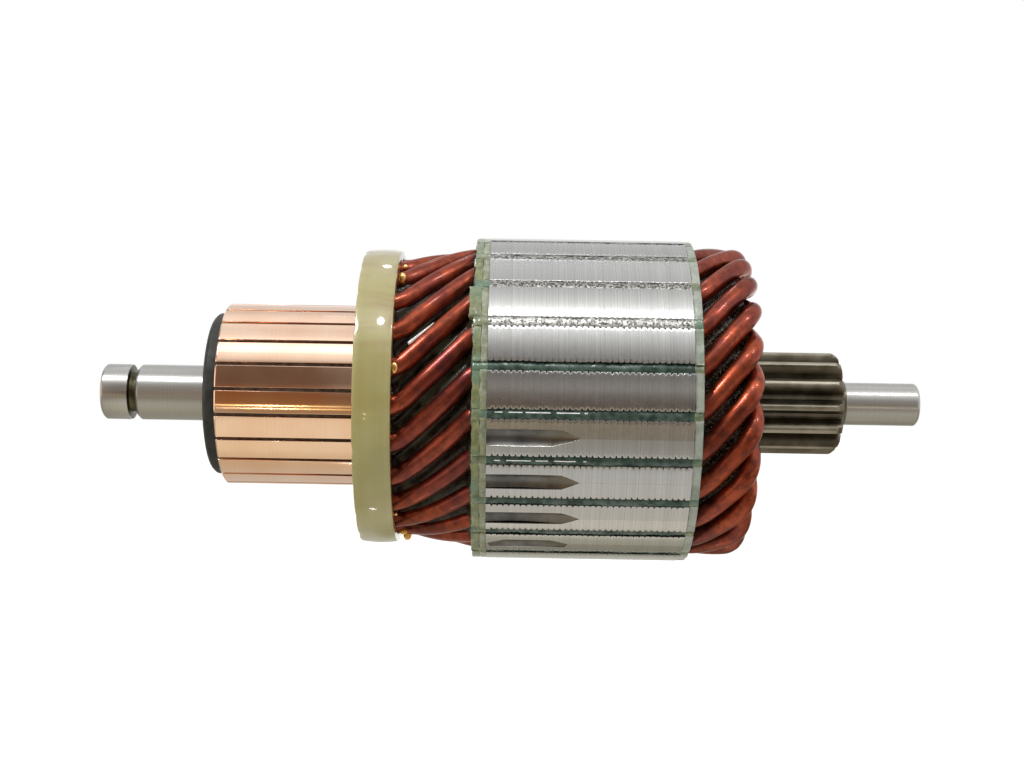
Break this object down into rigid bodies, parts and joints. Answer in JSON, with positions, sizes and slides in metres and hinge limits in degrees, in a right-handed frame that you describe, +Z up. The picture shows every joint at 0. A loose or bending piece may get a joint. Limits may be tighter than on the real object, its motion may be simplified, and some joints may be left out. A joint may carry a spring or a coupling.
{
  "type": "starter motor armature",
  "caption": "Armature of a geared starter motor: slotted steel core with hairpin winding, copper commutator, and a shaft with sun gear and two journals.",
  "frame": {"origin": "on the shaft's axis at half the shaft's length", "axes": "+X along the shaft towards the drive end, +Z up, -Y towards the viewer of the picture"},
  "size_m": [0.1912, 0.075, 0.075],
  "materials": {
    "ground_steel": "ground",
    "core_steel": "turned laminations",
    "yellow_fibre": "varnished",
    "green_fibre": "varnished",
    "liner_paper": "varnished",
    "layer_paper": "varnished",
    "hub_moulding": "moulded",
    "mica": "undercut",
    "band_resin": "gloss",
    "commutator_copper": "turned copper",
    "enamelled_wire": "enamelled copper"
  },
  "bodies": {
    "root": {"shaft": "ground_steel", "core_laminations": "core_steel", "outer_fibre_plate": "yellow_fibre", "inner_fibre_plate": "green_fibre", "drive_fibre_plate": "green_fibre", "slot_liners": "liner_paper", "commutator_layer_insulation": "layer_paper", "drive_layer_insulation": "layer_paper", "commutator_hub": "hub_moulding", "commutator_mica": "mica", "riser_band": "band_resin", "commutator_bar_01": "commutator_copper", "commutator_bar_02": "commutator_copper", "commutator_bar_03": "commutator_copper", "commutator_bar_04": "commutator_copper", "commutator_bar_05": "commutator_copper", "commutator_bar_06": "commutator_copper", "commutator_bar_07": "commutator_copper", "commutator_bar_08": "commutator_copper", "commutator_bar_09": "commutator_copper", "commutator_bar_10": "commutator_copper", "commutator_bar_11": "commutator_copper", "commutator_bar_12": "commutator_copper", "commutator_bar_13": "commutator_copper", "commutator_bar_14": "commutator_copper", "commutator_bar_15": "commutator_copper", "commutator_bar_16": "commutator_copper", "commutator_bar_17": "commutator_copper", "commutator_bar_18": "commutator_copper", "commutator_bar_19": "commutator_copper", "commutator_bar_20": "commutator_copper", "commutator_bar_21": "commutator_copper", "commutator_bar_22": "commutator_copper", "commutator_bar_23": "commutator_copper", "coil_01": "enamelled_wire", "coil_02": "enamelled_wire", "coil_03": "enamelled_wire", "coil_04": "enamelled_wire", "coil_05": "enamelled_wire", "coil_06": "enamelled_wire", "coil_07": "enamelled_wire", "coil_08": "enamelled_wire", "coil_09": "enamelled_wire", "coil_10": "enamelled_wire", "coil_11": "enamelled_wire", "coil_12": "enamelled_wire", "coil_13": "enamelled_wire", "coil_14": "enamelled_wire", "coil_15": "enamelled_wire", "coil_16": "enamelled_wire", "coil_17": "enamelled_wire", "coil_18": "enamelled_wire", "coil_19": "enamelled_wire", "coil_20": "enamelled_wire", "coil_21": "enamelled_wire", "coil_22": "enamelled_wire", "coil_23": "enamelled_wire"}
  },
  "joints": []
}
